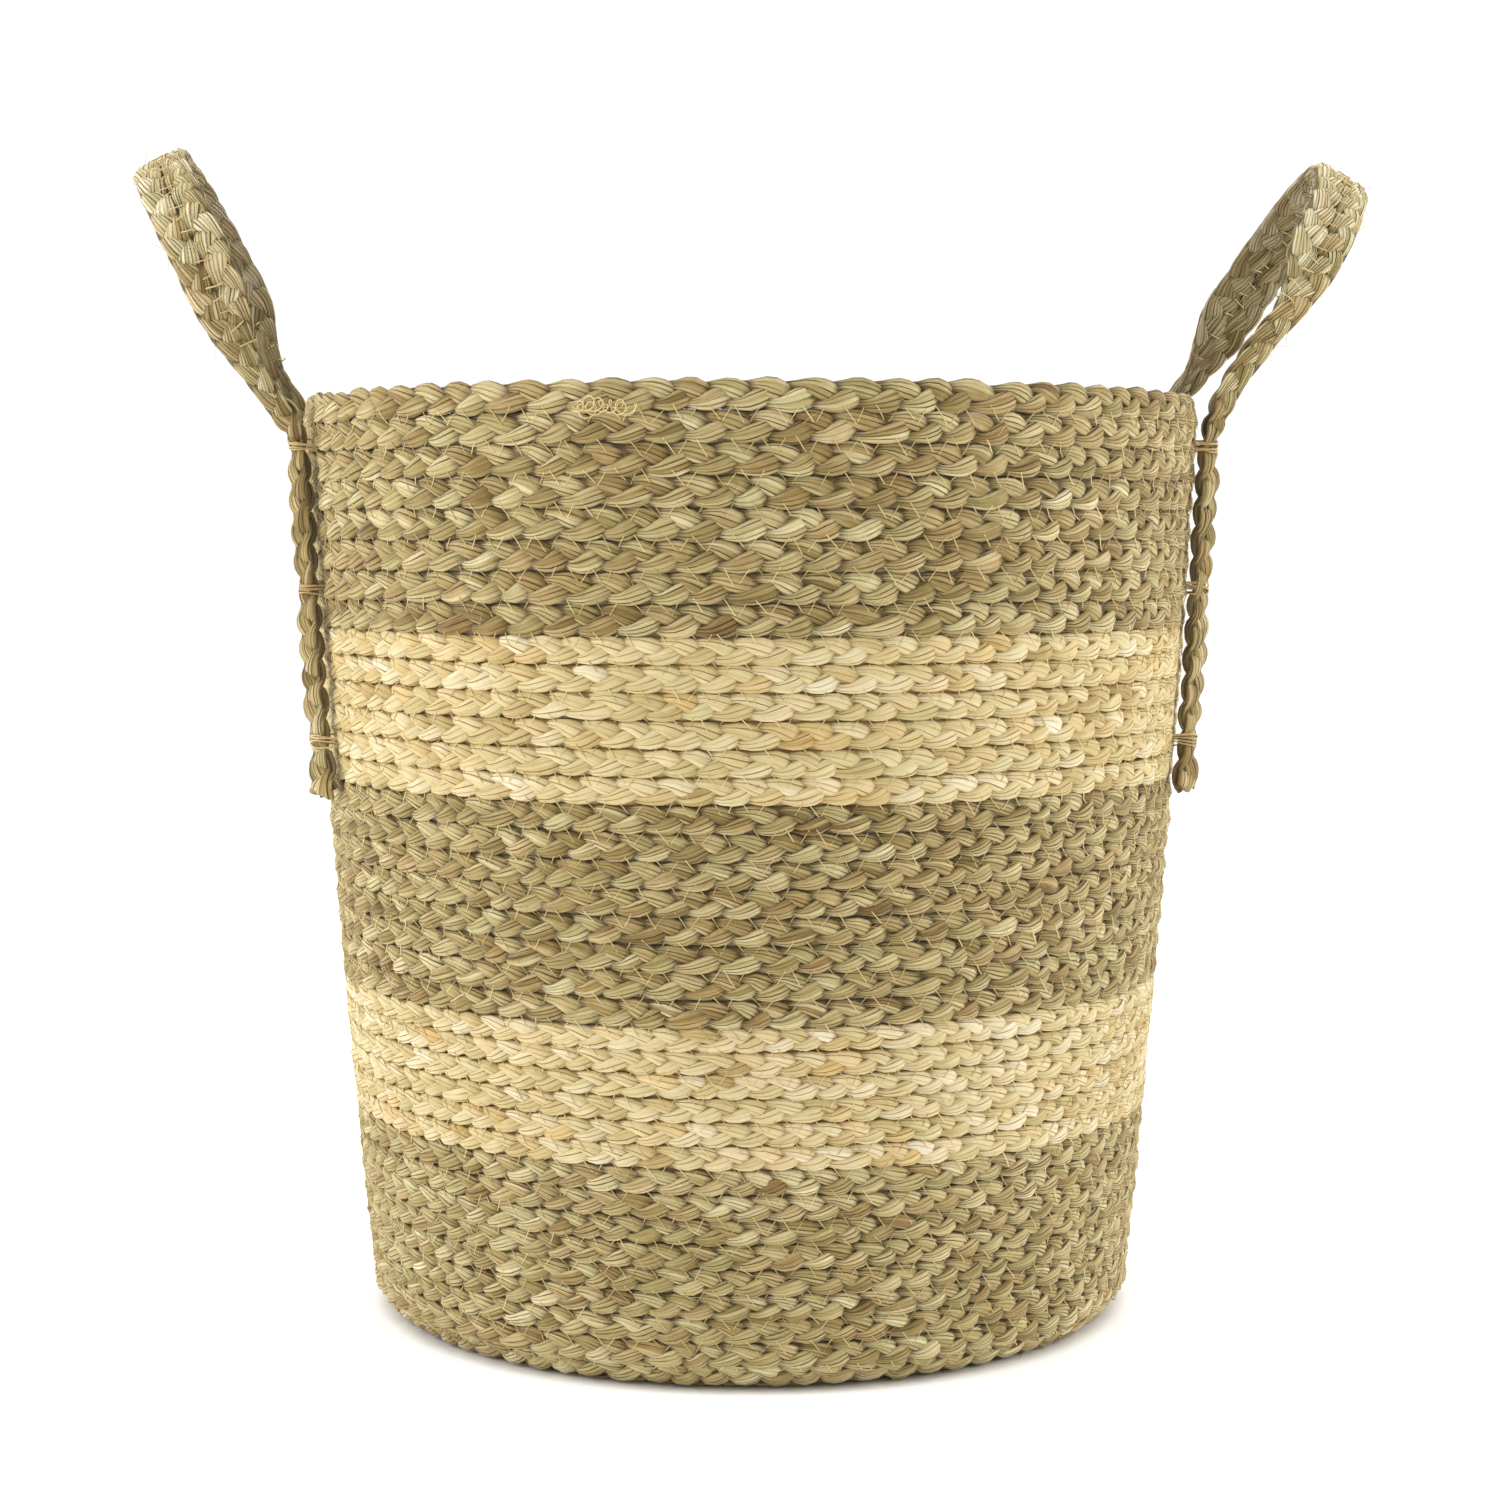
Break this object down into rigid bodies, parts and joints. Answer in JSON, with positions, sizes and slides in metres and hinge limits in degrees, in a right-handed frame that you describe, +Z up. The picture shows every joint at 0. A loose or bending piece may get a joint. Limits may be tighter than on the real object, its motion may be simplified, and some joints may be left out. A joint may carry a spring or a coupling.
{
  "type": "storage basket",
  "caption": "Round, slightly tapered storage basket of coiled seagrass and cornhusk braids, with a flat spiral base and hinged strap handles lashed to the outside of the wall.",
  "frame": {"origin": "middle of the flat underside, on the basket's own axis", "axes": "+Z up along the basket's axis, +X towards the right-hand handle, +Y towards the back, so the front faces -Y"},
  "size_m": [0.48, 0.35, 0.4508],
  "materials": {
    "seagrass": "three-strand braids of dry seagrass leaf, olive straw to grey brown, matte with a faint leaf sheen",
    "cornhusk": "three-strand braids of smooth dry cornhusk, pale cream yellow, papery",
    "handle_seagrass": "two seagrass braids sewn side by side, straw to pinkish tan, matte",
    "twine": "thin twisted plant-fibre sewing twine, tan, matte"
  },
  "bodies": {
    "basket": {"base_coil": "seagrass", "bottom_seagrass_coil": "seagrass", "lower_husk_coil": "cornhusk", "middle_seagrass_coil": "seagrass", "upper_husk_coil": "cornhusk", "top_seagrass_coil": "seagrass", "right_front_leg": "handle_seagrass", "right_back_leg": "handle_seagrass", "left_front_leg": "handle_seagrass", "left_back_leg": "handle_seagrass", "right_front_top_tie": "twine", "right_front_middle_tie": "twine", "right_front_bottom_tie": "twine", "right_back_top_tie": "twine", "right_back_middle_tie": "twine", "right_back_bottom_tie": "twine", "left_front_top_tie": "twine", "left_front_middle_tie": "twine", "left_front_bottom_tie": "twine", "left_back_top_tie": "twine", "left_back_middle_tie": "twine", "left_back_bottom_tie": "twine"},
    "right_handle": {"right_outer_grip_braid": "handle_seagrass", "right_inner_grip_braid": "handle_seagrass"},
    "left_handle": {"left_outer_grip_braid": "handle_seagrass", "left_inner_grip_braid": "handle_seagrass"}
  },
  "joints": [
    {"name": "right_handle_flex", "type": "hinge", "parent": "basket", "child": "right_handle", "pos_m": [0.181, 0, 0.3545], "axis": [0, 1, 0], "range_deg": [-75, 40], "stiffness_Nm_per_rad": 0.4},
    {"name": "left_handle_flex", "type": "hinge", "parent": "basket", "child": "left_handle", "pos_m": [-0.181, 0, 0.3545], "axis": [0, -1, 0], "range_deg": [-75, 40], "stiffness_Nm_per_rad": 0.4}
  ]
}
